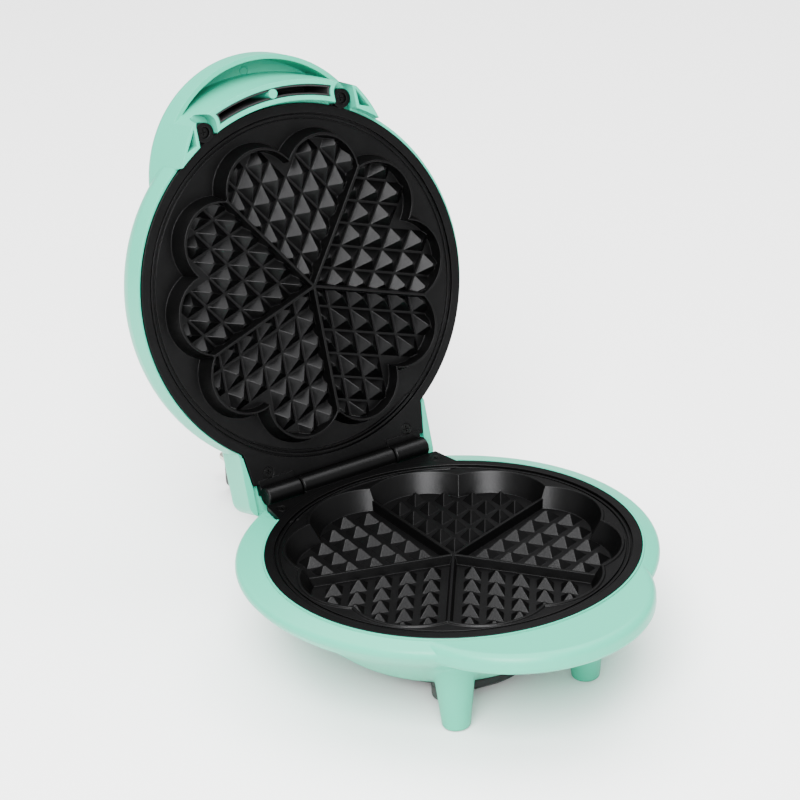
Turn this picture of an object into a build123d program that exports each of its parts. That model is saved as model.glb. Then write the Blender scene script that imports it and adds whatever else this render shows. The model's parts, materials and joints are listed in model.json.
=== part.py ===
from build123d import *
from math import atan2, atan, cos, degrees, hypot, pi, radians, sin, sqrt, tan
import os

# Electric heart waffle maker, lid open. Millimetres, +Z up, -Y is the handle side, +Y the hinge.
# Everything is modelled with the lid shut and the plate centre at x = y = 0, then the lid's pieces
# are turned open about the hinge and the whole part is centred on the middle of its footprint.

# ---------------------------------------------------------------- overall
wall = 2.5                 # moulded housings
rim_height = 62.0          # lower plate's rim above the table
closed_gap = 5.2           # between the two rims with the lid shut
open_angle = 105.45        # lid against its stop
fit = 0.2                  # side clearance of a piece in its seat
seat_gap = 0.05            # between a piece and the face that it is screwed down on
lid_clear = 0.4            # lid's front rail above the base's deck, lid shut

# ---------------------------------------------------------------- plates
rim_radius = 92.0
rim_thick = 4.0
rim_band = 4.6             # width of the raised outer band
groove_width = 1.0         # two fine grooves inside the band
groove_ring = 1.2          # ring left between them
groove_depth = 1.0         # below the flat face
face_drop = 0.8            # flat face below the rim band
pan_inset = 8.5            # outside of the pan, from the rim's edge
pan_depth = 10.0
plate_wall = 3.5
hearts = 5
cavity_inset = 10.0        # tips of the ten lobes, from the rim's edge
cavity_lobe_share = 0.387  # a lobe's own radius over the radius of its tip
wall_draft = 5.0           # the cavity narrows by this much towards its floor
bead_width = 1.6           # raised bead round the cavity, as high as the rim
bead_draft = 0.5
ridge_drop = 5.5           # top of the dividing ridges below the rim
ridge_top = 1.3
ridge_foot = 3.6
pyramid_pitch = 12.3       # along both ridges of a heart
pyramid_first = 10.3       # first lower pyramid along both ridges; the upper ones stand half a pitch nearer
pyramid_base = 8.6
pyramid_height = 4.4
pyramid_tip = 0.6          # half width of the blunt tip
collar_proud = 9.0         # rosette collar of the upper plate, below its rim plane
collar_gap = 2.0           # between the collar's foot and the lower cavity's edge
collar_flare = 2.5         # the collar is this much wider at its foot
collar_lobe_share = 0.27
collar_lip = 1.3
collar_draft = 1.2         # the hollow inside it narrows by this much towards its floor
collar_depth = 7.0
upper_ridge_proud = 9.2
upper_pyramid_base = 11.1
upper_pyramid_height = 4.9
back_relief = 2.2          # hollow in the back of the upper plate

# ---------------------------------------------------------------- hinge
barrel_radius = 5.0
barrel_half = 48.3
knuckle_half = 28.0        # the middle knuckle belongs to the lower plate
knuckle_gap = 0.3
barrel_round = 0.7         # chamfer at the ends of the three barrels
hinge_behind = 5.9         # axis behind the rim's edge
hinge_above_rim = 1.2
pin_radius = 2.0
pin_clear = 0.05
flap_thick = 3.0
flap_overlap = 22.0        # the flap starts this far inside the rim's edge
flap_half_front = 54.0
flap_half_back = 51.0
barrel_clear = 0.9         # between a barrel and the edge of the other flap

# ---------------------------------------------------------------- base housing
bowl_y = 6.0               # the bowl is turned about this axis
bowl_past_rim = 13.2       # widest line of the bowl outside the plate's edge
crease_drop = 5.0          # widest line of the bowl below the rim
lip_width = 1.6
lip_drop = 1.0             # flat lip round the plate, below the rim
lip_bead = 0.9             # thin raised bead between that lip and the plate
lip_bead_drop = 0.2
bowl_steps = [(-61.2, 12.0), (-39.2, 22.0), (-15.8, 42.0)]    # from the widest line inwards, and heights
deck_y = -53.0             # round deck that serves as the base's handle
deck_radius = 66.5
deck_thick = 10.1
deck_drop = lip_drop       # flat deck level with the lip
deck_top_round = 4.2
deck_foot_round = 3.4
back_inset = 1.5           # flat back under the hinge, in front of its axis
leg_front = (38.0, -55.5)
leg_rear = (45.0, 78.0)
leg_foot_radius = 7.0
leg_flare = 0.1            # growth of the leg's radius with height
leg_round = 1.8
leg_blend = 5.0            # fillet between leg and bowl
crease_round = 3.0
pad_radius = 4.2
pad_thick = 1.2
pad_proud = 0.4
rib_thick = 1.8
pillar_radius = 4.2

# ---------------------------------------------------------------- cord store and mains lead
hub_y = -4.0
hub_radius = 24.8
hub_flange = 30.0
hub_floor = 2.0            # underside of the hub above the table
cord_diameter = 6.4
well_radius = 39.5
well_clear = 0.2
hub_tab_reach = 35.5
gland_root = 4.65
plug_width = 37.0
plug_length = 42.0
plug_height = 22.0
plug_nose_length = 16.0
plug_nose_radius = 6.5
plug_pin_x = 9.5
plug_pin_radius = 2.4
plug_pin_length = 19.0

# ---------------------------------------------------------------- lid housing
dome_y = -1.0
dome_foot_past_rim = 1.2
dome_past_rim = 2.4
dome_foot_at = 1.3         # these three heights are above the lid's rim
dome_wide_at = 10.2
dome_top_at = 41.8
dome_round = 20.0          # between the side and the shallow top
rail_proud = closed_gap + deck_drop - lid_clear
rail_past_rim = 1.5        # inner face of the rail outside the plate's edge
rail_strip = 2.4           # between that face and the slot
slot_width = 5.6
rail_lip = 2.5             # between the slot and the outer face
rail_draft = 4.5           # the front wall leans out by this much up to the handle's top
rail_wall = 2.6
slot_end = 2.0             # wall between the slot and a well
liner_wall = 0.9
liner_depth = 26.0
post_radius = 2.4
well_x = 39.9
well_wall = 1.8
ear_past_rail = 3.0
ear_radius = 5.0
ear_tall = 6.0
ear_room = 0.7             # round an ear in its well
ear_reach = 3.3            # clear space in front of it
handle_y = -56.0
handle_foot_radius = 60.0
handle_radius = 63.3
handle_edge_at = 12.2      # lower edge of the handle's lip above the lid's rim
handle_top_at = 30.5
handle_round = 6.8
block_half = 55.6
block_behind = 10.6        # back of the block behind the hinge's axis
block_top_at = 24.0
block_round = 7.5

# ---------------------------------------------------------------- electrics
heater_radius = 53.0
heater_tube = 3.3
heater_gap_angle = 40.0
channel_wall = 1.5
channel_depth = 3.0
reflector_thick = 0.8
reflector_inset = 12.5     # from the outside of the pan
reflector_lip = 4.0
reflector_hang = 9.2       # reflector below the back of its plate
fuse_y = -18.0
fuse_radius = 2.2
fuse_half = 8.0
clip_screw_y = fuse_y + 6.0
stat_radius = 8.5
stat_height = 8.0
stat_screw_x = 12.0
spacer_at = 66.0
spacer_radius = 3.4
screw_radius = 1.5
head_radius = 2.7
head_height = 1.8

# ---------------------------------------------------------------- derived heights
pan_radius = rim_radius - pan_inset
cavity_radius = rim_radius - cavity_inset
hinge_y = rim_radius + hinge_behind
flap_y = rim_radius - flap_overlap
back_y = hinge_y - back_inset
bowl_radius = rim_radius + bowl_past_rim
lid_rim = rim_height + closed_gap
hinge_z = rim_height + hinge_above_rim
crease_z = rim_height - crease_drop
lip_z = rim_height - lip_drop
deck_z = rim_height - deck_drop
cavity_floor = rim_height - pan_depth
pan_bottom = cavity_floor - plate_wall
rim_bottom = rim_height - rim_thick
flap_z = rim_height - 0.4 - flap_thick
bowl_profile = [(bowl_radius + dr, z) for dr, z in bowl_steps] + [(bowl_radius, crease_z)]
well_ceiling = bowl_profile[0][1] + 4.7
coil_bottom = well_ceiling - well_clear - 2 * cord_diameter
coil_inner = hub_radius + fit
coil_middle = coil_inner + cord_diameter
coil_outer = coil_middle + cord_diameter
hinge_axis = Axis((0, hinge_y, hinge_z), (1, 0, 0))
dome_foot_radius = rim_radius + dome_foot_past_rim
dome_radius = rim_radius + dome_past_rim
rail_inner = rim_radius + rail_past_rim
slot_inner = rail_inner + rail_strip
slot_outer = slot_inner + slot_width
rail_outer = slot_outer + rail_lip
post_radius_at = (slot_inner + slot_outer) / 2
ear_radius_at = rail_inner + ear_past_rail
well_half = ear_radius + ear_room
well_end = -sqrt((ear_radius_at + ear_radius + ear_reach) ** 2 - well_x ** 2) + well_half
block_back = hinge_y + block_behind
reflector_radius = pan_radius - reflector_inset


# ---------------------------------------------------------------- helpers
def disc(radius, bottom, top, x=0.0, y=0.0):
    """Upright cylinder between two heights."""
    low = (Align.CENTER, Align.CENTER, Align.MIN)
    return Pos(x, y, bottom) * Cylinder(radius, top - bottom, align=low)


def ring(outer, inner, bottom, top, x=0.0, y=0.0):
    return disc(outer, bottom, top, x, y) - disc(inner, bottom - 1, top + 1, x, y)


def block(x0, x1, y0, y1, z0, z1):
    return Pos((x0 + x1) / 2, (y0 + y1) / 2, (z0 + z1) / 2) * Box(x1 - x0, y1 - y0, z1 - z0)


def rod(radius, x0, x1, y, z):
    """Cylinder along X."""
    return Pos((x0 + x1) / 2, y, z) * Rot(0, 90, 0) * Cylinder(radius, x1 - x0)


def barrel(x0, x1):
    """Hinge barrel with chamfered ends."""
    body = rod(barrel_radius, x0, x1, hinge_y, hinge_z)
    return chamfer(body.edges().filter_by(GeomType.CIRCLE), barrel_round)


def lathe(edges, x=0.0, y=0.0):
    """Turn a closed outline, drawn as (radius, height), about an upright axis at x, y."""
    outline = Plane.XZ * make_face(edges)
    return Pos(x, y, 0) * revolve(outline, Axis.Z)


def turned(points, x=0.0, y=0.0):
    return lathe(Polyline(*points, close=True), x, y)


def inset(points, amount):
    """Points moved to the inner side of a wall, square to the line through their neighbours."""
    moved = []
    for i, (r, z) in enumerate(points):
        r0, z0 = points[max(i - 1, 0)]
        r1, z1 = points[min(i + 1, len(points) - 1)]
        run = hypot(r1 - r0, z1 - z0)
        moved.append((max(r - amount * (z1 - z0) / run, 0.0), z + amount * (r1 - r0) / run))
    return moved


def polar(radius, angle):
    return radius * cos(radians(angle)), radius * sin(radians(angle))


def prism(points, bottom, top):
    return extrude(Pos(0, 0, bottom) * make_face(Polyline(*points, close=True)), top - bottom)


def screw(x, y, seat, length, way, radius=screw_radius):
    """Pan-head screw: head outside the seat, shank going along way (+1 up, -1 down) from it."""
    if way > 0:
        head = disc(head_radius, seat - head_height, seat, x, y)
        shank = disc(radius, seat, seat + length, x, y)
        slot_z = seat - head_height
    else:
        head = disc(head_radius, seat, seat + head_height, x, y)
        shank = disc(radius, seat - length, seat, x, y)
        slot_z = seat + head_height
    body = head + shank
    for turn in (0, 90):
        body -= Pos(x, y, slot_z) * Rot(0, 0, turn) * Box(head_radius * 1.2, 0.6, head_height)
    return body


def group(pieces):
    return Compound(children=[p if isinstance(p, Solid) else p.solid() for p in pieces])


# ---------------------------------------------------------------- the hearts
heart_turn = 360.0 / hearts
lobe_half = heart_turn / 4


def rosette_radius(angle, tip, centre):
    """Distance to the edge of the ten-lobed outline, whose lobes are arcs about points at the radius centre."""
    lobe = tip - centre
    off = lobe_half - abs((angle - 90 + lobe_half + 720) % (2 * lobe_half) - lobe_half)
    across = centre * sin(radians(off))
    return centre * cos(radians(off)) + sqrt(lobe ** 2 - across ** 2)


def rosette(tip, z, centre):
    """Flat face with ten round lobes. Its inward points lie on the ridges and between two lobes."""
    arcs = []
    for k in range(2 * hearts):
        start = 90 + 2 * lobe_half * k
        cusp = rosette_radius(start, tip, centre)
        a = polar(cusp, start)
        b = polar(tip, start + lobe_half)
        c = polar(cusp, start + 2 * lobe_half)
        arcs.append(ThreePointArc(a, b, c))
    return Pos(0, 0, z) * make_face(Wire(arcs))


def ridges(bottom, top, reach):
    """Bars between the hearts, narrower at the top height."""
    foot, crest = ridge_foot / 2, ridge_top / 2
    outline = Polyline((-foot, bottom), (foot, bottom), (crest, top), (-crest, top), close=True)
    bar = extrude(Plane.YZ * make_face(outline), reach)
    return [Rot(0, 0, 90 + heart_turn * k) * bar for k in range(hearts)]


def pyramid(base, height, way):
    """Blunt rhombic pyramid whose sides run along the two ridges of a heart at 0 and 72 degrees."""
    ax, ay = polar(base / 2, 0)
    bx, by = polar(base / 2, heart_turn)
    corners = [(-ax - bx, -ay - by), (ax - bx, ay - by), (ax + bx, ay + by), (bx - ax, by - ay)]
    slope = (base / 2 * sin(radians(heart_turn)) - pyramid_tip) / height
    face = make_face(Polyline(*corners, close=True))
    return extrude(face, amount=way * height, taper=degrees(atan(slope)))


def pyramid_places(first, tip, centre):
    """Rows along both ridges of one heart, kept where the tip is inside the cavity."""
    rows = range(int(2 * tip / pyramid_pitch))
    places = []
    for i in rows:
        for j in rows:
            s, t = first + i * pyramid_pitch, first + j * pyramid_pitch
            x = s + t * cos(radians(heart_turn))
            y = t * sin(radians(heart_turn))
            edge = rosette_radius(90 + degrees(atan2(y, x)), tip, centre)
            if hypot(x, y) < edge - 1.5:
                places.append((x, y, hypot(x, y) > edge - pyramid_pitch))
    return places


def pyramid_field(base, height, z, way, first, tip, centre):
    """Pyramids of all hearts; the outer ones are cut off by the cavity's wall."""
    one = pyramid(base, height, way)
    room = Rot(0, 0, -90) * extrude(rosette(tip, -height - 1, centre), 2 * height + 2)
    heart = []
    for x, y, outer in pyramid_places(first, tip, centre):
        piece = Pos(x, y, 0) * one
        heart += (piece & room).solids() if outer else [piece]
    return [Rot(0, 0, 90 + heart_turn * k) * Pos(0, 0, z) * piece for k in range(hearts) for piece in heart]


def channel(z, way):
    """Two low walls on the back of a plate that hold the heater."""
    half = heater_tube + fit
    low, high = sorted((z, z + way * channel_depth))
    inner = ring(heater_radius - half, heater_radius - half - channel_wall, low, high)
    outer = ring(heater_radius + half + channel_wall, heater_radius + half, low, high)
    return [inner, outer]


spacer_angles = (30, 150, 270)


def spacers(z, way, length):
    low, high = sorted((z, z + way * length))
    return [disc(spacer_radius, low, high, *polar(spacer_at, a)) for a in spacer_angles]


def spacer_holes(z, way, length):
    low, high = sorted((z + way * 1.0, z + way * (length + 1)))
    return [disc(screw_radius + 0.02, low, high, *polar(spacer_at, a)) for a in spacer_angles]


# ---------------------------------------------------------------- lower plate
lower_screw = (flap_half_back - 4.6, hinge_y - 13.2)
front_boss = leg_front     # its screw goes up through the front leg
boss_length = 6.0
band_inner = rim_radius - rim_band
second_groove = band_inner - groove_width - groove_ring
cavity_lobes_at = cavity_radius * (1 - cavity_lobe_share)
cavity_foot = cavity_radius - wall_draft


def flap(z):
    """Tongue from the rim to the hinge."""
    back = hinge_y - barrel_radius - barrel_clear
    points = [(-flap_half_front, flap_y), (-flap_half_back, back), (flap_half_back, back),
              (flap_half_front, flap_y)]
    return prism(points, z, z + flap_thick)


def make_lower_plate():
    top = rim_height
    face = top - face_drop
    outline = [(0, pan_bottom), (pan_radius, pan_bottom), (pan_radius, rim_bottom), (rim_radius, rim_bottom),
               (rim_radius, top), (band_inner, top), (band_inner, face), (0, face)]
    plate = turned(outline)
    plate += flap(flap_z) - disc(pan_radius, 0, top + 10)
    bead = cavity_radius + bead_width
    plate += loft([rosette(bead, face - 0.2, cavity_lobes_at), rosette(bead - bead_draft, top, cavity_lobes_at)],
                  ruled=True)
    for r in (band_inner, second_groove):
        plate -= ring(r, r - groove_width, face - groove_depth, top + 10)
    k = knuckle_half - knuckle_gap
    web = block(-k, k, hinge_y - barrel_radius - 4, hinge_y, flap_z, flap_z + flap_thick)
    plate += web + barrel(-k, k)
    plate -= rod(pin_radius + 0.01, -k - 1, k + 1, hinge_y, hinge_z)
    mouth = rosette(cavity_radius, top, cavity_lobes_at)
    plate -= loft([rosette(cavity_foot, cavity_floor, cavity_lobes_at), mouth], ruled=True) + extrude(mouth, 1)
    extras = ridges(cavity_floor - 0.5, top - ridge_drop, rosette_radius(90, cavity_radius, cavity_lobes_at))
    extras += pyramid_field(pyramid_base, pyramid_height, cavity_floor, 1, pyramid_first, cavity_foot,
                            cavity_lobes_at)
    extras += channel(pan_bottom, -1)
    extras += spacers(pan_bottom, -1, reflector_hang)
    for side in (-1, 1):
        x, y = side * front_boss[0], front_boss[1]
        extras.append(disc(pillar_radius, pan_bottom - boss_length, pan_bottom, x, y))
    plate = plate.fuse(*extras)
    for hole in spacer_holes(pan_bottom, -1, reflector_hang):
        plate -= hole
    plate -= disc(screw_radius + 0.02, pan_bottom - 1, pan_bottom + 2.5, 0, clip_screw_y)
    for side in (-1, 1):
        x, y = side * front_boss[0], front_boss[1]
        plate -= disc(screw_radius + 0.02, pan_bottom - boss_length - 1, pan_bottom - 0.5, x, y)
        x, y = side * lower_screw[0], lower_screw[1]
        plate -= disc(screw_radius + fit, flap_z - 1, flap_z + flap_thick + 1, x, y)
        plate -= disc(head_radius + fit, flap_z + flap_thick - head_height, flap_z + flap_thick + 1, x, y)
    return plate


lower_plate = make_lower_plate()


# ---------------------------------------------------------------- upper plate, lid shut
upper_screw = (barrel_half - 6.8, hinge_y - 10.6)
ear_x = well_x
ear_y = -sqrt(ear_radius_at ** 2 - ear_x ** 2)
collar_radius = cavity_radius - collar_gap
collar_top_radius = collar_radius - collar_flare
collar_lobes_at = collar_top_radius * (1 - collar_lobe_share)
hollow_radius = collar_top_radius - collar_lip
hollow_lobes_at = hollow_radius * (1 - collar_lobe_share)
collar_tip = lid_rim - collar_proud
collar_floor = collar_tip + collar_depth
upper_back = lid_rim + rim_thick
relief_back = upper_back - back_relief
ear_seat = upper_back - flap_thick


def make_upper_plate():
    face = lid_rim + face_drop
    plate = turned([(0, upper_back), (rim_radius, upper_back), (rim_radius, lid_rim), (band_inner, lid_rim),
                    (band_inner, face), (0, face)])
    plate += loft([rosette(collar_top_radius, collar_tip, collar_lobes_at),
                   rosette(collar_radius, face + 0.1, collar_lobes_at)], ruled=True)
    narrow = hollow_radius - collar_draft
    plate -= loft([rosette(hollow_radius, collar_tip - 0.01, hollow_lobes_at),
                   rosette(narrow, collar_floor, narrow * (1 - collar_lobe_share))], ruled=True)
    plate -= disc(pan_radius - 4, relief_back, upper_back + 1)
    plate += flap(lid_rim) - disc(pan_radius, 0, 200)
    for r in (band_inner, second_groove):
        plate -= ring(r, r - groove_width, 0, face + groove_depth)
    extras = ridges(collar_floor + 0.5, lid_rim - upper_ridge_proud,
                    rosette_radius(90, hollow_radius, hollow_lobes_at) + 2)
    extras += pyramid_field(upper_pyramid_base, upper_pyramid_height, collar_floor, -1,
                            pyramid_first - pyramid_pitch / 2, hollow_radius, hollow_lobes_at)
    extras += channel(relief_back, 1)
    extras += spacers(relief_back, 1, reflector_hang)
    for side in (-1, 1):
        x0, x1 = sorted((side * (knuckle_half + knuckle_gap), side * barrel_half))
        extras.append(barrel(x0, x1))
        web_y = hinge_y - barrel_radius - 3
        extras.append(block(x0, x1, web_y, hinge_y, lid_rim - 1, lid_rim + flap_thick))
        ex, ey = side * ear_x, ear_y
        extras.append(disc(ear_radius, upper_back - ear_tall, upper_back, ex, ey))
        neck = block(0.9 - ear_radius, ear_radius - 0.9, 0, 9, upper_back - flap_thick, upper_back)
        extras.append(Pos(ex, ey, 0) * Rot(0, 0, degrees(atan2(ex, -ey))) * neck)
    cover = block(0.5 - barrel_half, barrel_half - 0.5, hinge_y - barrel_radius - barrel_clear - 1, hinge_y,
                  lid_rim, lid_rim + flap_thick)
    extras.append(cover - rod(barrel_radius + barrel_clear, -100, 100, hinge_y, hinge_z))
    plate = plate.fuse(*extras)
    plate -= rod(pin_radius + pin_clear, -barrel_half - 1, barrel_half + 1, hinge_y, hinge_z)
    for hole in spacer_holes(relief_back, 1, reflector_hang):
        plate -= hole
    for side in (-1, 1):
        plate -= disc(screw_radius + 0.02, relief_back - 2.5, relief_back + 1, side * stat_screw_x, 0)
        x, y = side * upper_screw[0], upper_screw[1]
        plate -= disc(screw_radius + fit, lid_rim - 1, upper_back + 1, x, y)
        plate -= disc(head_radius + fit, lid_rim - 1, lid_rim + head_height, x, y)
        plate -= disc(screw_radius + fit, 0, upper_back + 1, side * ear_x, ear_y)
        plate -= disc(head_radius + fit, 0, ear_seat, side * ear_x, ear_y)
    return plate


upper_plate = make_upper_plate()


# ---------------------------------------------------------------- base housing
lip_radius = rim_radius + fit + lip_width


def bowl(thickness):
    """Solid of revolution inside the bowl's skin, at a depth below its outer face."""
    points = inset(bowl_profile, thickness)
    (r0, z0), (r1, z1) = points[0], points[-1]
    skin = Spline(*points, tangents=[(1, 0), (0.45, 1)])
    edges = [Line((0, z0), (r0, z0)), skin, Line((r1, z1), (0, z1)), Line((0, z1), (0, z0))]
    return lathe(edges, 0, bowl_y)


def band():
    """Sloping band between the bowl's widest line and the lip around the plate."""
    low = Pos(0, bowl_y, crease_z) * Circle(bowl_radius)
    high = Pos(0, 0, lip_z) * Circle(lip_radius)
    return loft([low, high])


def deck():
    """Round deck at the front, with round edges."""
    low, high, r = deck_z - deck_thick, deck_z, deck_radius
    a, b = deck_foot_round, deck_top_round
    edges = [Line((0, low), (r - a, low)), RadiusArc((r - a, low), (r, low + a), -a),
             Line((r, low + a), (r, high - b)), RadiusArc((r, high - b), (r - b, high), -b),
             Line((r - b, high), (0, high)), Line((0, high), (0, low))]
    return lathe(edges, 0, deck_y)


def leg(x, y, top):
    """Leg that widens upwards, with a rounded foot."""
    r, c, low = leg_foot_radius, leg_round, pad_proud
    wide = r + leg_flare * top
    edges = [Line((0, low), (r - c, low)), RadiusArc((r - c, low), (r, low + c), -c),
             Line((r, low + c), (wide, top)), Line((wide, top), (0, top)), Line((0, top), (0, low))]
    return lathe(edges, x, y)


leg_places = [(sx * x, y) for x, y in (leg_front, leg_rear) for sx in (-1, 1)]
front_pillar_top = pan_bottom - boss_length - seat_gap
front_shoulder = front_pillar_top - 5.0
rear_pillar_top = flap_z - seat_gap
ledge_top = rim_bottom - seat_gap
hub_boss = (13.0, hub_y)
hub_top = well_ceiling - seat_gap
hub_shoulder = hub_floor + 5.0
gland_radius = 4.4
gland_place = (-32.5, -34.6)
gland_length = 12.0        # tapered sleeve after the elbow
gland_angle = -8.0
gland_z = coil_bottom + cord_diameter / 2 + 0.3
channel_x = coil_outer - cord_diameter / 2
channel_half = cord_diameter / 2 + 0.5
channel_back = 80.0
block_floor = well_ceiling + wall
terminal_half = 15.0
terminal_y = (11.0, 29.0)
terminal_height = 14.0


def make_base_housing():
    """Bowl, band, deck and legs in one moulding, open at the top and under the deck."""
    skin = bowl(0)
    body = skin.fuse(*[leg(x, y, rim_bottom - 8) for x, y in leg_places])
    runs = [e for e in body.edges() if e.is_closed and e.geom_type == GeomType.BSPLINE]
    body = fillet(runs, leg_blend) + band()
    crease = [e for e in body.edges().filter_by(GeomType.CIRCLE) if abs(e.center().Z - crease_z) < 0.01]
    body = fillet(crease, crease_round)
    under = disc(deck_radius - wall, 0, deck_z - wall, 0, deck_y)
    ribs = [block(x - rib_thick / 2, x + rib_thick / 2, -200, deck_y, deck_z - deck_thick + 4, deck_z - 1)
            & under for x in (-40, -20, 0, 20, 40)]
    body = body.fuse(deck() - under, *ribs)
    body += ring(rim_radius + fit + lip_bead, rim_radius - 1, lip_z - 1, rim_height - lip_bead_drop)
    body -= block(-200, 200, back_y, 200, 0, 100)
    body -= bowl(wall) & block(-200, 200, -200, back_y - wall, 0, ledge_top - wall)
    roof = disc(well_radius + wall, 0, block_floor, 0, hub_y)
    roof += block(channel_x - channel_half - wall, channel_x + channel_half + wall, hub_y, channel_back,
                  0, block_floor)
    inside = [roof & skin]
    for side in (-1, 1):
        x, y = side * front_boss[0], front_boss[1]
        inside.append(disc(pillar_radius, 0, front_pillar_top, x, y) & skin)
        x, y = side * lower_screw[0], lower_screw[1]
        inside.append(disc(pillar_radius, 0, crease_z, x, y) & skin)
        inside.append(disc(pillar_radius, crease_z - 1, rear_pillar_top, x, y))
        inside.append(disc(pillar_radius, block_floor - 1, block_floor + 7, side * hub_boss[0], hub_boss[1]))
        x0, x1 = sorted((side * (terminal_half + fit), side * (terminal_half + fit + 2)))
        inside.append(block(x0, x1, terminal_y[0] + 3, terminal_y[1] - 3, block_floor - 1, block_floor + 6))
    body = body.fuse(*inside)
    cuts = [disc(rim_radius + fit, ledge_top, 100), disc(pan_radius + 1, ledge_top - wall - 2, 100),
            block(-flap_half_front - fit, flap_half_front + fit, flap_y, 200, rear_pillar_top, 100),
            rod(barrel_radius + barrel_clear, -barrel_half - 1, barrel_half + 1, hinge_y, hinge_z),
            disc(well_radius, 0, well_ceiling, 0, hub_y),
            block(channel_x - channel_half, channel_x + channel_half, hub_y, channel_back, 0, well_ceiling),
            disc(gland_radius, 0, 30, *gland_place)]
    for side in (-1, 1):
        x, y = side * front_boss[0], front_boss[1]
        cuts.append(disc(head_radius + 0.5, 0, front_shoulder, x, y))
        cuts.append(disc(screw_radius + fit, 0, 100, x, y))
        cuts.append(disc(screw_radius + 0.02, rear_pillar_top - 10, 100, side * lower_screw[0], lower_screw[1]))
        cuts.append(disc(screw_radius + 0.02, 0, block_floor + 6, side * hub_boss[0], hub_boss[1]))
    cuts += [disc(pad_radius + 0.1, -1, pad_proud + pad_thick, x, y) for x, y in leg_places]
    return body.cut(*cuts)


base_housing = make_base_housing()
foot_pads = group([disc(pad_radius, 0, pad_proud + pad_thick - seat_gap, x, y) for x, y in leg_places])


# ---------------------------------------------------------------- lid housing, lid shut
handle_low = lid_rim - rail_proud
handle_edge = lid_rim + handle_edge_at
handle_top = lid_rim + handle_top_at
lid_edge = lid_rim + dome_foot_at
lid_seat = upper_back + seat_gap
flap_seat = lid_rim + flap_thick + seat_gap
lens_place = (8.0, -58.0)
lens_radius = 3.2
board_z = lid_rim + 20.0
board_post = (15.0, -58.0)
lens_flange_at = 31.4
lens_top_at = 36.6


def dome(step):
    """Dome at a depth below its skin: leaning side, round shoulder and shallow cap, all tangent."""
    across, above = dome_radius - dome_round, dome_top_at - dome_wide_at
    cap = (across ** 2 + above ** 2 - dome_round ** 2) / (2 * (above - dome_round))
    foot = (dome_foot_radius - step, lid_rim + dome_foot_at)
    wide = (dome_radius - step, lid_rim + dome_wide_at)
    run = cap - dome_round
    shoulder = (across + (dome_round - step) * across / run,
                wide[1] + (dome_round - step) * (cap - above) / run)
    top = (0, lid_rim + dome_top_at - step)
    edges = [Line((0, foot[1]), foot), Line(foot, wide), RadiusArc(wide, shoulder, step - dome_round),
             RadiusArc(shoulder, top, step - cap), Line(top, (0, foot[1]))]
    return lathe(edges, 0, dome_y)


def handle_body():
    """Round handle whose side leans out to its widest line and rounds over to a flat top."""
    foot, wide = (handle_foot_radius, handle_low), (handle_radius, handle_top - handle_round)
    flat = (handle_radius - handle_round, handle_top)
    edges = [Line((0, handle_low), foot), Line(foot, wide), RadiusArc(wide, flat, -handle_round),
             Line(flat, (0, handle_top)), Line((0, handle_top), (0, handle_low))]
    return lathe(edges, 0, handle_y)


def front_wall(step):
    """Everything behind the lid's leaning front wall, at a depth below its face."""
    low, high = handle_low - 1, handle_top + 1
    lean = rail_draft / (handle_top - handle_low)
    r0 = rail_outer - step - lean
    r1 = rail_outer - step + rail_draft + lean
    return turned([(0, low), (r0, low), (r1, high), (0, high)])


def hinge_block():
    body = block(-block_half, block_half, 40, block_back, lid_rim + 0.5, lid_rim + block_top_at)
    upright = body.edges().filter_by(Axis.Z).group_by(Axis.Y)[-1]
    body = fillet(upright, block_round)
    top = [e for e in body.edges().group_by(Axis.Z)[-1] if e.center().Y > 41]
    return fillet(top, block_round - 1)


def slot_shape(gap, low, high):
    """Curved slot in the front rail, ending at the round walls of the two wells."""
    shape = ring(slot_outer - gap, slot_inner + gap, low, high)
    corner = (3 * well_x, 3 * well_end)
    shape &= prism([(0, 0), (-corner[0], corner[1]), corner], low, high)
    for side in (-1, 1):
        shape -= disc(well_half + slot_end + gap, low - 1, high + 1, side * well_x, well_end)
    return shape


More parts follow.
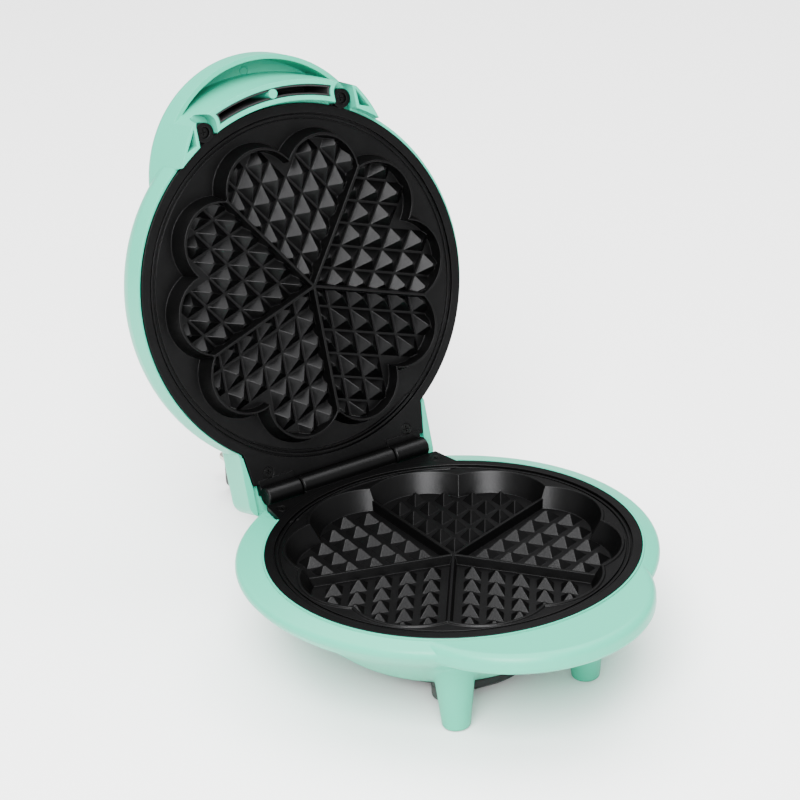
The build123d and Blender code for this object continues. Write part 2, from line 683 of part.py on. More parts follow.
def make_lid_housing():
    """Dome, round handle with its finger pocket, front rail and hinge block in one moulding."""
    body = handle_body()
    front = front_wall(0)
    handle = (body & front) + (body & block(-200, 200, -200, 0, handle_edge, handle_top + 1))
    lean = (handle_radius - handle_foot_radius) / (handle_top - handle_round - handle_low)
    lip_inside = handle_foot_radius + lean * (handle_edge - handle_low) - wall
    handle -= disc(lip_inside, handle_edge - 1, handle_top - wall, 0, handle_y) - front
    rail_room = disc(handle_foot_radius - wall, handle_low + 6, handle_top - wall, 0, handle_y)
    handle -= (rail_room & front_wall(rail_wall)) - disc(slot_inner, 0, 200)
    handle -= ring(2.5, 2.1, handle_top - wall - 1, handle_top - wall + 0.4, 4, handle_y - 54)
    shell = dome(0) + handle + hinge_block()
    shell -= disc(rail_inner, 0, lid_edge)
    shell -= disc(rim_radius + fit, 0, lid_seat)
    shell -= disc(pan_radius + 1.5, 0, lid_seat + wall + 1)
    shell -= dome(wall) & block(-200, 200, -200, 200, lid_seat + wall, 200)
    shell -= block(-block_half + wall, block_half - wall, 50, block_back - wall, flap_seat + wall,
                   lid_rim + block_top_at - wall)
    inside = [disc(post_radius, handle_low + 0.4, handle_top - 1, 0, -post_radius_at)]
    for side in (-1, 1):
        inside.append(disc(4, lid_seat, lid_seat + 14, side * ear_x, ear_y))
        inside.append(disc(4, flap_seat, flap_seat + 16, side * upper_screw[0], upper_screw[1]))
        inside.append(disc(2.2, board_z + 1.6 + seat_gap, lid_rim + 36, side * board_post[0], board_post[1]))
        wall_round = disc(well_half + well_wall, handle_low + 1, lid_seat + wall, side * well_x, well_end)
        inside.append(wall_round & front)
    for piece in inside:
        shell += piece
    slot = slot_shape(0, handle_low - 1, handle_low + 7)
    back, low = flap_half_back + 0.6, flap_half_front + 0.6
    flap_room = [(-low, flap_y), (-back, hinge_y - barrel_radius), (-back, 200), (back, 200),
                 (back, hinge_y - barrel_radius), (low, flap_y)]
    cuts = [slot - disc(post_radius, 0, 200, 0, -post_radius_at), prism(flap_room, 0, flap_seat)]
    for side in (-1, 1):
        x = side * well_x
        cuts.append(disc(well_half, 0, lid_seat, x, well_end))
        cuts.append(block(x - well_half, x + well_half, well_end, -78, 0, lid_seat))
        window = [(side * 47.0, -91.2), (side * 53.2, -80.6), (side * 47.4, -82.8)]
        cuts.append(prism(window, handle_low - 1, handle_low + 18))
        cuts.append(disc(screw_radius + 0.02, 0, lid_seat + 11, side * ear_x, ear_y))
        cuts.append(disc(screw_radius + 0.02, 0, flap_seat + 13, side * upper_screw[0], upper_screw[1]))
        cuts.append(disc(lens_radius + 0.05, lid_rim + 30, 200, side * lens_place[0], lens_place[1]))
        cuts.append(disc(1.02, 0, board_z + 6, side * board_post[0], board_post[1]))
    return shell.cut(*cuts)


lid_housing = make_lid_housing()

# Black trough in the rail, seen through the slot; the post stands in it.
liner_low = handle_low + liner_wall
rail_liner = slot_shape(fit, liner_low, liner_low + liner_depth)
rail_liner -= slot_shape(fit + liner_wall, liner_low - 1, liner_low + liner_depth - liner_wall)
rail_liner -= disc(post_radius + fit, 0, 200, 0, -post_radius_at)


# ---------------------------------------------------------------- heaters and reflectors
heater_start = 90 + heater_gap_angle / 2
heater_ends = [polar(heater_radius, heater_start), polar(heater_radius, 180 - heater_start)]
heater_leg = 12.0
heater_pin = 5.0


def heater(back, way):
    """Sheathed element bent to an open ring, its two ends turned away from the plate."""
    z = back + way * (heater_tube + seat_gap)
    profile = Plane.XZ * Pos(heater_radius, z) * Circle(heater_tube)
    body = Rot(0, 0, heater_start) * revolve(profile, Axis.Z, 360 - heater_gap_angle)
    for x, y in heater_ends:
        low, high = sorted((z, z + way * heater_leg))
        body += Pos(x, y, z) * Sphere(heater_tube)
        body += disc(heater_tube, low, high, x, y)
        low, high = sorted((z + way * (heater_leg - 1), z + way * (heater_leg + heater_pin)))
        body += disc(1.2, low, high, x, y)
    return body


def reflector(back, way, holes):
    """Tin dish on the plate's three spacers, its lip towards the plate."""
    z = back + way * (reflector_hang + seat_gap)
    low, high = sorted((z, z + way * reflector_thick))
    lip_low, lip_high = sorted((z - way * reflector_lip, z + way * reflector_thick))
    dish = disc(reflector_radius, low, high)
    dish += ring(reflector_radius, reflector_radius - reflector_thick, lip_low, lip_high)
    for a in spacer_angles:
        dish -= disc(screw_radius + fit, low - 1, high + 1, *polar(spacer_at, a))
    for x, y in heater_ends:
        dish -= disc(heater_tube + 1.5, low - 1, high + 1, x, y)
    for x, y, r in holes:
        dish -= disc(r, lip_low - 1, lip_high + 1, x, y)
    return dish


def reflector_screws(back, way):
    seat = back + way * (reflector_hang + seat_gap + reflector_thick)
    return group([screw(*polar(spacer_at, a), seat, 8, -way) for a in spacer_angles])


lower_heater = heater(pan_bottom, -1)
lower_reflector = reflector(pan_bottom, -1, [(s * front_boss[0], front_boss[1], pillar_radius + 1)
                                             for s in (-1, 1)])
lower_reflector_screws = reflector_screws(pan_bottom, -1)
upper_heater = heater(relief_back, 1)
upper_reflector = reflector(relief_back, 1, [(0, 0, stat_screw_x + 4)])
upper_reflector_screws = reflector_screws(relief_back, 1)


# ---------------------------------------------------------------- base: screws, hinge pin, fuse, terminals
pin_half = barrel_half - seat_gap
hinge_pin = rod(pin_radius, -pin_half, pin_half, hinge_y, hinge_z)
lower_plate_screws = group([screw(s * lower_screw[0], lower_screw[1], flap_z + flap_thick - head_height, 10, -1)
                            for s in (-1, 1)])
lower_fixing_screws = group([screw(s * front_boss[0], front_boss[1], front_shoulder, 10, 1) for s in (-1, 1)])

fuse_z = pan_bottom - seat_gap - fuse_radius
thermal_fuse = rod(fuse_radius, -fuse_half, fuse_half, fuse_y, fuse_z)
clip_low = pan_bottom - seat_gap - 0.8
fuse_clip = rod(fuse_radius + 0.85, -3, 3, fuse_y, fuse_z) - rod(fuse_radius + 0.05, -4, 4, fuse_y, fuse_z)
fuse_clip &= block(-3, 3, fuse_y - 10, fuse_y + 10, 0, pan_bottom - seat_gap)
clip_tab = block(-3, 3, fuse_y + fuse_radius + 0.2, clip_screw_y + 3.5, clip_low, pan_bottom - seat_gap)
fuse_clip += clip_tab - disc(screw_radius + fit, 0, 100, 0, clip_screw_y)
fuse_clip_screw = screw(0, clip_screw_y, clip_low, 3.0, 1)


def make_terminal_block():
    """Three-way block with a clamping screw well over each way."""
    low = block_floor + seat_gap
    body = block(-terminal_half, terminal_half, *terminal_y, low, low + terminal_height)
    y0, y1 = terminal_y
    for x in (-10, 0, 10):
        for y in (y0 + 4.5, y1 - 4.5):
            body -= disc(2.6, low + 8, low + 30, x, y)
        body -= Pos(x, (y0 + y1) / 2, low + 5) * Rot(90, 0, 0) * Cylinder(2, 40)
    return body


terminal_block = make_terminal_block()


def wire(points, radius=1.3, bend=3.0):
    path = FilletPolyline(*points, radius=bend)
    return sweep(Plane(origin=path @ 0, z_dir=path % 0) * Circle(radius), path)


gland_top = 23.0
wire_z = block_floor + seat_gap + 5
block_back_y = terminal_y[1] - 4
base_wires = []
for side, way_x in ((-1, -10), (1, 0)):
    gx, gy = gland_place[0] + side * 1.7, gland_place[1] - side * 1.7
    base_wires.append([(gx, gy, gland_top + seat_gap), (gx, gy, gland_top + 7), (way_x - 9, 1, gland_top + 7),
                       (way_x, terminal_y[0] - 5, wire_z), (way_x, terminal_y[0] + 4, wire_z)])
    hx, hy = heater_ends[0] if side < 0 else heater_ends[1]
    pin_z = pan_bottom - heater_tube - heater_leg - heater_pin - 2 * seat_gap
    base_wires.append([(side * 10, block_back_y, wire_z), (side * 10, terminal_y[1] + 6, wire_z),
                       (hx, hy - 8, wire_z - 4), (hx, hy, wire_z - 4), (hx, hy, pin_z)])
base_wires = group([wire(points, bend=2.6) for points in base_wires])


# ---------------------------------------------------------------- cord hub, cord and plug
def make_cord_hub():
    """Spool under the base: round wall, floor, flange and four tabs that keep the cord on."""
    low = hub_floor
    hub = disc(hub_radius, low, hub_top, 0, hub_y) - disc(hub_radius - wall, low + 2.2, 100, 0, hub_y)
    keeper = coil_bottom - seat_gap
    hub += disc(hub_flange, low, keeper, 0, hub_y)
    for a in (45, 135, 225, 315):
        tab = block(hub_flange - 3, hub_tab_reach, -5, 5, low, keeper)
        hub += Pos(0, hub_y, 0) * Rot(0, 0, a) * tab
    for side in (-1, 1):
        x, y = side * hub_boss[0], hub_boss[1]
        hub += disc(pillar_radius + 0.8, low, hub_top, x, y)
        hub -= disc(head_radius + 0.5, 0, hub_shoulder, x, y)
        hub -= disc(screw_radius + fit, 0, 100, x, y)
    return hub


cord_hub = make_cord_hub()
cord_hub_screws = group([screw(s * hub_boss[0], hub_boss[1], hub_shoulder, 17, 1) for s in (-1, 1)])


def make_strain_relief():
    """Grommet in the bowl's floor, an elbow under it and a tapered sleeve that leads to the coil."""
    x, y = gland_place
    body = disc(gland_radius - 0.1, gland_z, gland_top, x, y)
    body += disc(gland_radius + 1.1, gland_top - 1.6, gland_top, x, y)
    body += disc(gland_root, gland_z, gland_z + 4.2, x, y) + Pos(x, y, gland_z) * Sphere(gland_root)
    sleeve = Cone(gland_root, cord_diameter / 2 + 0.6, gland_length)
    body += Pos(x, y, gland_z) * Rot(0, 0, gland_angle) * Rot(0, 90, 0) * Pos(0, 0, gland_length / 2) * sleeve
    body -= disc(coil_outer + seat_gap, 0, coil_bottom + 2 * cord_diameter + 1, 0, hub_y)
    return body & block(-200, 200, -200, 200, gland_z - gland_root + 0.6, 100)


strain_relief = make_strain_relief()

# The coil's outer shape: two turns side by side below, one above them, and part of a turn beside that one.
coil_level = coil_bottom + cord_diameter
coil_top = coil_level + cord_diameter
cord_coil = ring(coil_outer, coil_inner, coil_bottom, coil_level, 0, hub_y)
cord_coil += ring(coil_middle, coil_inner, coil_level, coil_top, 0, hub_y)
last_turn = ring(coil_outer, coil_middle - 0.5, coil_level, coil_top, 0, hub_y)
quarter = prism([(0, hub_y), polar(90, -170), (-90, -90), (90, -90), (90, hub_y)], coil_level - 1, coil_top + 1)
cord_coil += last_turn & quarter

# The free cord, from the coil's end at the channel to the plug's nose.
tail_z = coil_level + cord_diameter / 2
cord_route = [(channel_x, hub_y + seat_gap, tail_z), (34.6, 28.0, 13.3), (34.0, 60.0, 11.4), (30.4, 90.0, 5.0),
              (26.0, 114.0, 3.4), (21.8, 136.0, 6.9), (19.2, 156.0, 11.0), (19.2, 172.0, 11.0)]
plug_nose = cord_route[-1]


def bend_radii(points):
    """Largest arc that each corner allows: 0.45 of its shorter run over the tangent of half the turn."""
    radii = []
    for a, b, c in zip(points, points[1:], points[2:]):
        before, after = Vector(*b) - Vector(*a), Vector(*c) - Vector(*b)
        half = radians(before.get_angle(after)) / 2
        radii.append(0.45 * min(before.length, after.length) / tan(half))
    return radii


tail_radii = bend_radii(cord_route)
tail_path = FilletPolyline(*cord_route, radius=tail_radii)
cord_tail = sweep(Plane(origin=tail_path @ 0, z_dir=tail_path % 0) * Circle(cord_diameter / 2), tail_path)
cord_turns = 2 * pi * ((coil_outer + coil_middle) / 2 + 2 * (coil_inner + coil_middle) / 2)
cord_turns += 2 * pi * (coil_outer + coil_middle) / 2 * 170 / 360
print("cord bend radii", [round(r) for r in tail_radii], "tail", round(tail_path.length),
      "whole", round(tail_path.length + cord_turns + gland_length))
print("cord tail volume over section times length",
      round(cord_tail.volume / (pi * cord_diameter ** 2 / 4 * tail_path.length), 4))


def make_plug():
    """Moulded plug lying flat behind the base, nose towards the cord."""
    x, y, z = plug_nose
    y0 = y + plug_nose_length
    body = block(x - plug_width / 2, x + plug_width / 2, y0, y0 + plug_length, 0.1, plug_height)
    body = fillet(body.edges().filter_by(Axis.Y), 5)
    body = fillet(body.edges().group_by(Axis.Y)[0], 3)
    nose = Cone(plug_nose_radius, cord_diameter / 2 + 0.8, plug_nose_length + 2)
    body += Pos(x, y0 + 2, z) * Rot(90, 0, 0) * Pos(0, 0, (plug_nose_length + 2) / 2) * nose
    for side in (-1, 1):
        body -= Pos(x + side * plug_pin_x, y0 + plug_length, plug_height / 2) * Rot(90, 0, 0) * \
            Cylinder(plug_pin_radius + 0.01, 16)
    return body


plug_body = make_plug()
plug_end = plug_nose[1] + plug_nose_length + plug_length
plug_pins = []
for side in (-1, 1):
    place = Pos(plug_nose[0] + side * plug_pin_x, plug_end + (plug_pin_length - 8) / 2, plug_height / 2)
    pin = place * Rot(90, 0, 0) * Cylinder(plug_pin_radius, plug_pin_length + 8 - seat_gap)
    plug_pins.append(fillet(pin.edges().group_by(Axis.Y)[-1], 1.2))
plug_pins = group(plug_pins)


# ---------------------------------------------------------------- lid: screws, thermostat, lamps
upper_plate_screws = group(
    [screw(s * ear_x, ear_y, ear_seat, 11, 1) for s in (-1, 1)]
    + [screw(s * upper_screw[0], upper_screw[1], lid_rim + head_height, 11, 1) for s in (-1, 1)])

stat_low = relief_back + seat_gap
thermostat = disc(stat_radius, stat_low, stat_low + stat_height)
thermostat += block(-stat_screw_x - 3, stat_screw_x + 3, -4, 4, stat_low, stat_low + 1.2)
for side in (-1, 1):
    thermostat -= disc(screw_radius + fit, 0, 100, side * stat_screw_x, 0)
    x0, x1 = sorted((side * 4, side * 4.8))
    thermostat += block(x0, x1, -3, 3, stat_low + stat_height - 0.5, stat_low + stat_height + 6)
thermostat_screws = group([screw(s * stat_screw_x, 0, stat_low + 1.2, 3.4, -1) for s in (-1, 1)])

lamp_board = block(-20, 20, -70, -46, board_z, board_z + 1.6)
for side in (-1, 1):
    lamp_board -= disc(1.2, 0, 200, side * board_post[0], board_post[1])
lamp_board_screws = group([screw(s * board_post[0], board_post[1], board_z, 6, 1, 1.0) for s in (-1, 1)])
lamp_bottom = board_z + 1.6 + seat_gap
neon_lamps = group([disc(2.4, lamp_bottom, lamp_bottom + 6.0, s * lens_place[0], lens_place[1])
                    + Pos(s * lens_place[0], lens_place[1], lamp_bottom + 6.0) * Sphere(2.4) for s in (-1, 1)])


def lens(side):
    """Small window pushed into the dome from inside, with a flange under the skin."""
    x, y = side * lens_place[0], lens_place[1]
    flange = lid_rim + lens_flange_at
    return disc(lens_radius, flange, lid_rim + lens_top_at, x, y) + disc(lens_radius + 1, flange - 1, flange, x, y)


power_lens = lens(-1)
ready_lens = lens(1)
lid_wires = []
for side in (-1, 1):
    hx, hy = heater_ends[0] if side < 0 else heater_ends[1]
    pin_z = relief_back + heater_tube + heater_leg + heater_pin + 2 * seat_gap
    high = pin_z + 6
    stat_end = stat_low + stat_height + 6 + seat_gap
    lid_wires.append([(side * 4.4, 0, stat_end), (side * 4.4, 0, high), (hx, 20, high), (hx, hy, high),
                      (hx, hy, pin_z)])
lid_wires = group([wire(points, bend=2.6) for points in lid_wires])


# ---------------------------------------------------------------- open the lid, centre the footprint, write
base_pieces = {
    "base_housing": base_housing, "foot_pads": foot_pads, "lower_plate": lower_plate,
    "lower_plate_screws": lower_plate_screws, "lower_fixing_screws": lower_fixing_screws,
    "lower_heater": lower_heater, "lower_reflector": lower_reflector,
    "lower_reflector_screws": lower_reflector_screws, "thermal_fuse": thermal_fuse, "fuse_clip": fuse_clip,
    "fuse_clip_screw": fuse_clip_screw, "terminal_block": terminal_block, "base_wires": base_wires,
    "hinge_pin": hinge_pin, "cord_hub": cord_hub, "cord_hub_screws": cord_hub_screws,
    "strain_relief": strain_relief}
cord_pieces = {
    "cord_coil": cord_coil, "cord_tail": cord_tail, "plug_body": plug_body, "plug_pins": plug_pins}
lid_pieces = {
    "lid_housing": lid_housing, "rail_liner": rail_liner, "upper_plate": upper_plate,
    "upper_plate_screws": upper_plate_screws, "upper_heater": upper_heater, "upper_reflector": upper_reflector,
    "upper_reflector_screws": upper_reflector_screws, "thermostat": thermostat,
    "thermostat_screws": thermostat_screws, "lamp_board": lamp_board, "lamp_board_screws": lamp_board_screws,
    "neon_lamps": neon_lamps, "power_lens": power_lens, "ready_lens": ready_lens, "lid_wires": lid_wires}

opened = {name: piece.rotate(hinge_axis, -open_angle) for name, piece in lid_pieces.items()}
spans = [piece.bounding_box() for piece in (*base_pieces.values(), *opened.values())]
middle_y = (min(b.min.Y for b in spans) + max(b.max.Y for b in spans)) / 2
print("hinge axis at y", round(hinge_y - middle_y, 3), "z", hinge_z, "shift", round(middle_y, 3))

os.makedirs("parts", exist_ok=True)
for name, piece in {**base_pieces, **cord_pieces, **opened}.items():
    export_step(Pos(0, -middle_y, 0) * piece, "parts/%s.step" % name)
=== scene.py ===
import bpy
import json
import math
from mathutils import Matrix, Vector

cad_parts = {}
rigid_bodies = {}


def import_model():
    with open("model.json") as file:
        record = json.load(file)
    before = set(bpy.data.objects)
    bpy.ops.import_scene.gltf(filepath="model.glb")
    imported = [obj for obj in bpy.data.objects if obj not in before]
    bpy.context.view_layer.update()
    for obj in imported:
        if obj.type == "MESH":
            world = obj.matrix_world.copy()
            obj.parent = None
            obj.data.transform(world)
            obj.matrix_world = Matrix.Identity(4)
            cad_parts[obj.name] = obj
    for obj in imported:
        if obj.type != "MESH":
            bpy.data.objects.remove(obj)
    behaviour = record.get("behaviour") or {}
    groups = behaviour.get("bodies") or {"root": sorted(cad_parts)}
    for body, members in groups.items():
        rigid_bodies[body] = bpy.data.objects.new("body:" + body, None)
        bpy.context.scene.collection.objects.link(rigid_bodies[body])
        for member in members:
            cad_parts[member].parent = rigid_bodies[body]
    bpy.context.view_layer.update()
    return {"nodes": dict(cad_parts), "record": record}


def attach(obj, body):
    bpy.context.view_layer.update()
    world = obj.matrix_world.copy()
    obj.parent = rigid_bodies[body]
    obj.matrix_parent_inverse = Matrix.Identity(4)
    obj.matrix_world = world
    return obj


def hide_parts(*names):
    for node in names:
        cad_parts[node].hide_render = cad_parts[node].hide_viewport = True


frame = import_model()
print("frame loaded:", len(frame["nodes"]), "nodes")

mm = 0.001
bodyShift = -33.975      # y of the plate's centre: the origin is the middle of the part's footprint
rimHeight = 62.0
plateCentre = Vector((0, bodyShift, rimHeight)) * mm


# the camera stands in front, to the left and above

cameraSetup = {
    "azimuth": -31.93,                        # degrees
    "elevation": 25.0,
    "roll": -2.66,
    "lens": 134.1,                            # millimetres, on a sensor this wide
    "sensor": 36,
    "nearest": 0.05,                          # metres
    "fromPlate": (-698.7, -1078.6, 677.8),    # millimetres from the lower plate's centre
}


def makeCamera():
    data = bpy.data.cameras.new("camera")
    data.lens = cameraSetup["lens"]
    data.sensor_width = cameraSetup["sensor"]
    data.clip_start = cameraSetup["nearest"]
    camera = bpy.data.objects.new("camera", data)
    bpy.context.scene.collection.objects.link(camera)
    turn = Matrix.Rotation(math.radians(cameraSetup["azimuth"]), 4, "Z")
    tilt = Matrix.Rotation(math.radians(90 - cameraSetup["elevation"]), 4, "X")
    roll = Matrix.Rotation(math.radians(cameraSetup["roll"]), 4, "Z")
    place = plateCentre + Vector(cameraSetup["fromPlate"]) * mm
    camera.matrix_world = Matrix.Translation(place) @ turn @ tilt @ roll
    bpy.context.scene.camera = camera


makeCamera()
print("camera placed")


# shader building

def addNode(tree, kind, **values):
    made = tree.nodes.new(kind)
    for name, value in values.items():
        setattr(made, name, value)
    return made


def setInputs(made, **values):
    for name, value in values.items():
        made.inputs[name.replace("_", " ")].default_value = value
    return made


def startGroup(name, inputs, outputs):
    group = bpy.data.node_groups.new(name, "ShaderNodeTree")
    for label, kind, value in inputs:
        socket = group.interface.new_socket(name=label, in_out="INPUT", socket_type=kind)
        if value is not None:
            socket.default_value = value
    for label, kind in outputs:
        group.interface.new_socket(name=label, in_out="OUTPUT", socket_type=kind)
    return group, group.nodes.new("NodeGroupInput"), group.nodes.new("NodeGroupOutput")


def makeSurfaceGrain():
    # a fine grain for height and gloss, and a slow cloud for colour
    group, inner, outer = startGroup(
        "surfaceGrain",
        [("Vector", "NodeSocketVector", None),
         ("Grain per metre", "NodeSocketFloat", 2500.0),
         ("Cloud per metre", "NodeSocketFloat", 30.0)],
        [("Height", "NodeSocketFloat"), ("Cloud", "NodeSocketFloat")])
    fine = addNode(group, "ShaderNodeTexNoise")
    setInputs(fine, Detail=3.0, Roughness=0.6)
    cloud = addNode(group, "ShaderNodeTexNoise")
    setInputs(cloud, Detail=2.0, Roughness=0.5)
    group.links.new(inner.outputs["Vector"], fine.inputs["Vector"])
    group.links.new(inner.outputs["Vector"], cloud.inputs["Vector"])
    group.links.new(inner.outputs["Grain per metre"], fine.inputs["Scale"])
    group.links.new(inner.outputs["Cloud per metre"], cloud.inputs["Scale"])
    group.links.new(fine.outputs["Fac"], outer.inputs["Height"])
    group.links.new(cloud.outputs["Fac"], outer.inputs["Cloud"])
    return group


surfaceGrain = makeSurfaceGrain()


def startMaterial(name):
    material = bpy.data.materials.new(name)
    material.use_nodes = True
    tree = material.node_tree
    shader = tree.nodes["Principled BSDF"]
    place = addNode(tree, "ShaderNodeTexCoord")
    return material, tree, shader, place


def addGrain(tree, place, perMetre, cloudPerMetre):
    grain = addNode(tree, "ShaderNodeGroup", node_tree=surfaceGrain)
    setInputs(grain, Grain_per_metre=perMetre, Cloud_per_metre=cloudPerMetre)
    tree.links.new(place.outputs["Object"], grain.inputs["Vector"])
    return grain


def addTone(tree, shader, grain, dark, light):
    tone = addNode(tree, "ShaderNodeMix", data_type="RGBA")
    tone.inputs["A"].default_value = (*dark, 1)
    tone.inputs["B"].default_value = (*light, 1)
    tree.links.new(grain.outputs["Cloud"], tone.inputs["Factor"])
    tree.links.new(tone.outputs["Result"], shader.inputs["Base Color"])


def grainyMaterial(name, look):
    # moulded and coated surfaces: the tone drifts slowly, gloss and height follow the fine grain
    material, tree, shader, place = startMaterial(name)
    grain = addGrain(tree, place, look["grain"], look["cloud"])
    addTone(tree, shader, grain, look["dark"], look["light"])

    gloss = addNode(tree, "ShaderNodeMapRange")
    setInputs(gloss, To_Min=look["rough"][0], To_Max=look["rough"][1])
    tree.links.new(grain.outputs["Height"], gloss.inputs["Value"])
    tree.links.new(gloss.outputs["Result"], shader.inputs["Roughness"])

    bump = addNode(tree, "ShaderNodeBump")
    setInputs(bump, Strength=look["bump"], Distance=look["depth"] * mm)
    tree.links.new(grain.outputs["Height"], bump.inputs["Height"])
    if look.get("edge"):      # edges look rounded by this radius
        soft = addNode(tree, "ShaderNodeBevel", samples=6)
        setInputs(soft, Radius=look["edge"] * mm)
        tree.links.new(soft.outputs["Normal"], bump.inputs["Normal"])
    tree.links.new(bump.outputs["Normal"], shader.inputs["Normal"])
    shader.inputs["Metallic"].default_value = look.get("metal", 0.0)
    shader.inputs["Specular IOR Level"].default_value = look.get("specular", 0.5)
    shader.inputs["Specular Tint"].default_value = (*[look.get("tint", 1.0)] * 3, 1)
    return material


# dark and light: the two tones; rough: least and most; grain and cloud: per metre;
# depth and edge: millimetres

looks = {
    "mintPlastic": {
        "dark": (0.025, 0.325, 0.212), "light": (0.028, 0.345, 0.226), "rough": (0.30, 0.42),
        "grain": 1800, "cloud": 18, "bump": 0.10, "depth": 0.05, "edge": 0.7, "specular": 0.28,
    },
    "plateCoating": {
        "dark": (0.010, 0.010, 0.0102), "light": (0.015, 0.015, 0.0153), "rough": (0.26, 0.44),
        "grain": 1500, "cloud": 60, "bump": 0.7, "depth": 0.08, "edge": 0.5, "metal": 0.94,
        "tint": 0.55,
    },
    "zincSteel": {
        "dark": (0.50, 0.50, 0.50), "light": (0.62, 0.62, 0.61), "rough": (0.28, 0.42),
        "grain": 1500, "cloud": 200, "bump": 0.1, "depth": 0.03, "metal": 1.0,
    },
    "tinSheet": {
        "dark": (0.60, 0.60, 0.60), "light": (0.70, 0.70, 0.69), "rough": (0.22, 0.36),
        "grain": 900, "cloud": 60, "bump": 0.1, "depth": 0.04, "metal": 1.0,
    },
    "blackSteel": {
        "dark": (0.014, 0.014, 0.014), "light": (0.020, 0.020, 0.020), "rough": (0.30, 0.45),
        "grain": 1500, "cloud": 200, "bump": 0.1, "depth": 0.03, "edge": 0.2, "metal": 1.0,
        "tint": 0.6,
    },
    "heaterSteel": {
        "dark": (0.16, 0.14, 0.12), "light": (0.30, 0.27, 0.24), "rough": (0.40, 0.60),
        "grain": 1300, "cloud": 90, "bump": 0.2, "depth": 0.05, "metal": 0.9,
    },
    "blackPlastic": {
        "dark": (0.010, 0.010, 0.0105), "light": (0.014, 0.014, 0.0145), "rough": (0.42, 0.60),
        "grain": 1600, "cloud": 40, "bump": 0.25, "depth": 0.06, "edge": 0.4, "specular": 0.3,
    },
    "padRubber": {
        "dark": (0.020, 0.020, 0.020), "light": (0.034, 0.034, 0.033), "rough": (0.62, 0.80),
        "grain": 1400, "cloud": 90, "bump": 0.3, "depth": 0.08, "edge": 0.4,
    },
    "cordSheath": {
        "dark": (0.009, 0.009, 0.0095), "light": (0.013, 0.013, 0.0135), "rough": (0.45, 0.58),
        "grain": 1200, "cloud": 60, "bump": 0.15, "depth": 0.05, "specular": 0.3,
    },
    "nickelPins": {
        "dark": (0.58, 0.55, 0.48), "light": (0.68, 0.65, 0.58), "rough": (0.22, 0.34),
        "grain": 1200, "cloud": 90, "bump": 0.08, "depth": 0.03, "metal": 1.0,
    },
    "whitePlastic": {
        "dark": (0.68, 0.67, 0.63), "light": (0.76, 0.75, 0.72), "rough": (0.42, 0.55),
        "grain": 1300, "cloud": 60, "bump": 0.15, "depth": 0.05, "edge": 0.3,
    },
    "circuitBoard": {
        "dark": (0.34, 0.22, 0.10), "light": (0.44, 0.30, 0.15), "rough": (0.40, 0.55),
        "grain": 1500, "cloud": 200, "bump": 0.2, "depth": 0.04,
    },
    "glassSleeve": {
        "dark": (0.52, 0.49, 0.42), "light": (0.66, 0.64, 0.58), "rough": (0.65, 0.80),
        "grain": 1800, "cloud": 300, "bump": 0.4, "depth": 0.1,
    },
}
materials = {name: grainyMaterial(name, look) for name, look in looks.items()}


windowLooks = {
    "redWindow": {"tint": (0.72, 0.05, 0.03), "rough": 0.18},
    "greenWindow": {"tint": (0.06, 0.55, 0.12), "rough": 0.18},
    "lampGlass": {"tint": (0.92, 0.62, 0.45), "rough": 0.08},
}
windowBody = {"grain": 1500.0, "cloud": 250.0, "shade": 0.85, "seeThrough": 0.6}


def windowMaterial(name, look):
    material, tree, shader, place = startMaterial(name)
    grain = addGrain(tree, place, windowBody["grain"], windowBody["cloud"])
    shaded = [channel * windowBody["shade"] for channel in look["tint"]]
    addTone(tree, shader, grain, shaded, look["tint"])
    shader.inputs["Transmission Weight"].default_value = windowBody["seeThrough"]
    shader.inputs["Roughness"].default_value = look["rough"]
    return material


for windowName, windowLook in windowLooks.items():
    materials[windowName] = windowMaterial(windowName, windowLook)

slotFinish = {
    "mint_plastic": "mintPlastic",
    "plate_coating": "plateCoating",
    "steel": "zincSteel",
    "tin": "tinSheet",
    "black_steel": "blackSteel",
    "heater_steel": "heaterSteel",
    "rubber": "padRubber",
    "black_plastic": "blackPlastic",
    "cord_pvc": "cordSheath",
    "plug_metal": "nickelPins",
    "white_plastic": "whitePlastic",
    "board": "circuitBoard",
    "wire_cover": "glassSleeve",
    "red_window": "redWindow",
    "green_window": "greenWindow",
    "lamp_glass": "lampGlass",
}


def dressNodes():
    for part in frame["record"]["subparts"]:
        finish = materials[slotFinish[part["material_slot"]]]
        piece = bpy.data.objects[part["node"]]
        for slot in piece.material_slots:
            slot.material = finish
        if not piece.material_slots:
            piece.data.materials.append(finish)


dressNodes()
print("materials on the CAD nodes")


# the mains lead: wound on the hub under the base, then out behind

lead = {
    "diameter": 6.4,
    "hub": (0.0, -4.0 + bodyShift),
    "level": (6.9, 13.3),          # centre heights of the two layers
    "radius": (34.6, 28.2),        # centre radii of the outer and the inner turns
    "start": -122.5,               # degrees, where the sleeve meets the outer turn
    "step": 18.0,                  # degrees from one point to the next
    "wound": 1202.5,               # degrees wound in all
    "startOut": 2.6,               # the sleeve holds the lead this far outside the outer turn
    "settle": (0, 30),             # degrees wound while the lead settles on the outer turn,
    "toInner": (300, 380),         # moves in to the inner turn,
    "rise": (630, 700),            # climbs to the upper layer
    "toOuter": (960, 1040),        # and moves back out
    "tail": [(34.6, 28.0, 13.3), (34.0, 60.0, 11.4), (30.4, 90.0, 5.0), (26.0, 114.0, 3.4),
             (21.8, 136.0, 6.9), (19.2, 156.0, 11.0), (19.2, 172.0, 11.0)],
}


def eased(value, low, high):
    share = min(max((value - low) / (high - low), 0), 1)
    return share * share * (3 - 2 * share)


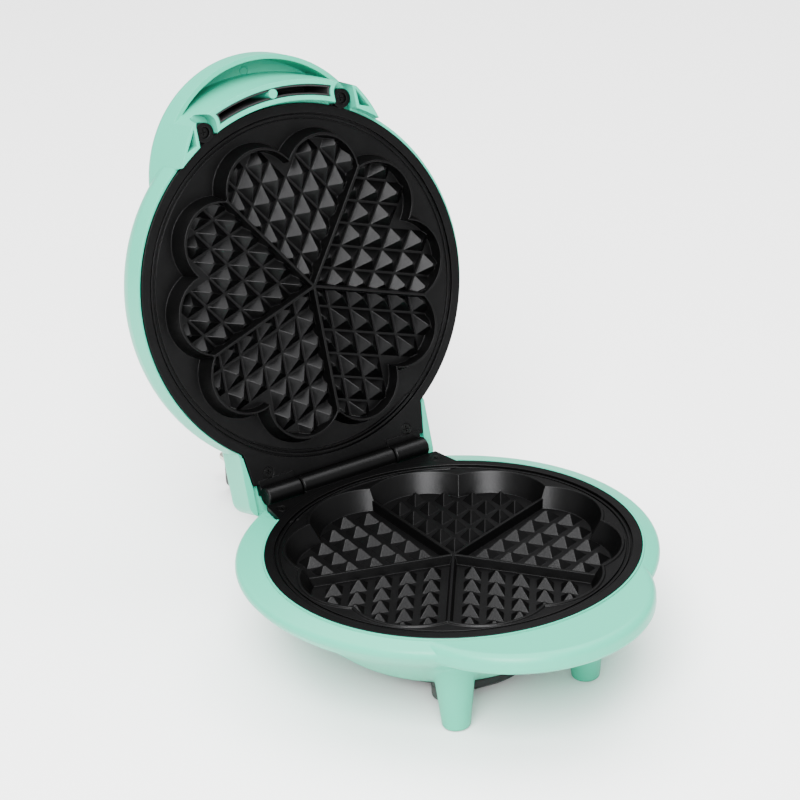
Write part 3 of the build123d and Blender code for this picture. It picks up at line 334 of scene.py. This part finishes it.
def leadRoute():
    outer, inner = lead["radius"]
    low, high = lead["level"]
    hubX, hubY = lead["hub"]
    # the curve runs inside its points, so they stand a little further out than the turn
    bulge = 1 / (0.5 + 0.5 * math.cos(math.radians(lead["step"] / 2)) ** 2)
    points = []
    turned = 0.0
    while turned < lead["wound"]:
        toInner = eased(turned, *lead["toInner"])
        toOuter = eased(turned, *lead["toOuter"])
        radius = outer + (inner - outer) * (toInner - toOuter)
        radius += lead["startOut"] * (1 - eased(turned, *lead["settle"]))
        height = low + (high - low) * eased(turned, *lead["rise"])
        angle = math.radians(lead["start"] + turned)
        points.append((hubX + radius * bulge * math.cos(angle),
                       hubY + radius * bulge * math.sin(angle), height))
        turned += lead["step"]
    points += [(x, y + bodyShift, z) for x, y, z in lead["tail"]]
    return [Vector(p) * mm for p in points]


def makeLead():
    route = leadRoute()
    curve = bpy.data.curves.new("mainsLead", "CURVE")
    curve.dimensions = "3D"
    spline = curve.splines.new("NURBS")
    spline.points.add(len(route) - 1)
    for point, place in zip(spline.points, route):
        point.co = (*place, 1)
    spline.order_u = 3
    spline.use_endpoint_u = True
    spline.resolution_u = 6
    curve.bevel_depth = lead["diameter"] / 2 * mm
    curve.bevel_resolution = 4
    curve.use_fill_caps = True
    piece = bpy.data.objects.new("mainsLead", curve)
    bpy.context.scene.collection.objects.link(piece)
    curve.materials.append(materials["cordSheath"])
    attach(piece, "base")
    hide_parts("cord_coil", "cord_tail")


makeLead()
print("mains lead wound")


# plain pale floor and soft studio light

floorPaper = {
    "size": 14,
    "tone": 0.92,
    "drift": 0.005,
    "grain": 300.0,
    "cloud": 2.0,
    "rough": 0.9,
    "specular": 0.1,
}


def makeFloor():
    bpy.ops.object.select_all(action="DESELECT")
    bpy.ops.mesh.primitive_plane_add(size=floorPaper["size"], location=(0, 0, 0))
    floor = bpy.context.object
    floor.name = "floor"
    material, tree, shader, place = startMaterial("floorPaper")
    grain = addGrain(tree, place, floorPaper["grain"], floorPaper["cloud"])
    tone = floorPaper["tone"]
    addTone(tree, shader, grain, [tone - floorPaper["drift"]] * 3, [tone] * 3)
    shader.inputs["Roughness"].default_value = floorPaper["rough"]
    shader.inputs["Specular IOR Level"].default_value = floorPaper["specular"]
    floor.data.materials.append(material)


studio = {
    "lights": {
        "keySoftbox": {"place": (-1.15, -1.35, 1.85), "size": (1.4, 1.4), "power": 190,
                       "target": (0, 0, 0.08)},
        "frontSoftbox": {"place": (-1.1, -1.7, 0.75), "size": (1.0, 0.8), "power": 28,
                         "target": (0, 0, 0.15)},
        "topSoftbox": {"place": (0.1, 0.3, 2.0), "size": (2.6, 2.4), "power": 130,
                       "target": (0, 0, 0.08)},
    },
    "world": 0.8,
}


def makeLights():
    for name, light in studio["lights"].items():
        data = bpy.data.lights.new(name, "AREA")
        data.shape = "RECTANGLE"
        data.size, data.size_y = light["size"]
        data.energy = light["power"]
        lamp = bpy.data.objects.new(name, data)
        bpy.context.scene.collection.objects.link(lamp)
        place = Vector(light["place"])
        aim = (Vector(light["target"]) - place).to_track_quat("-Z", "Y")
        lamp.matrix_world = Matrix.Translation(place) @ aim.to_matrix().to_4x4()
    world = bpy.data.worlds.new("studioWorld")
    world.use_nodes = True
    background = world.node_tree.nodes["Background"]
    background.inputs["Color"].default_value = (1, 1, 1, 1)
    background.inputs["Strength"].default_value = studio["world"]
    bpy.context.scene.world = world


makeFloor()
makeLights()
print("floor and lights set")
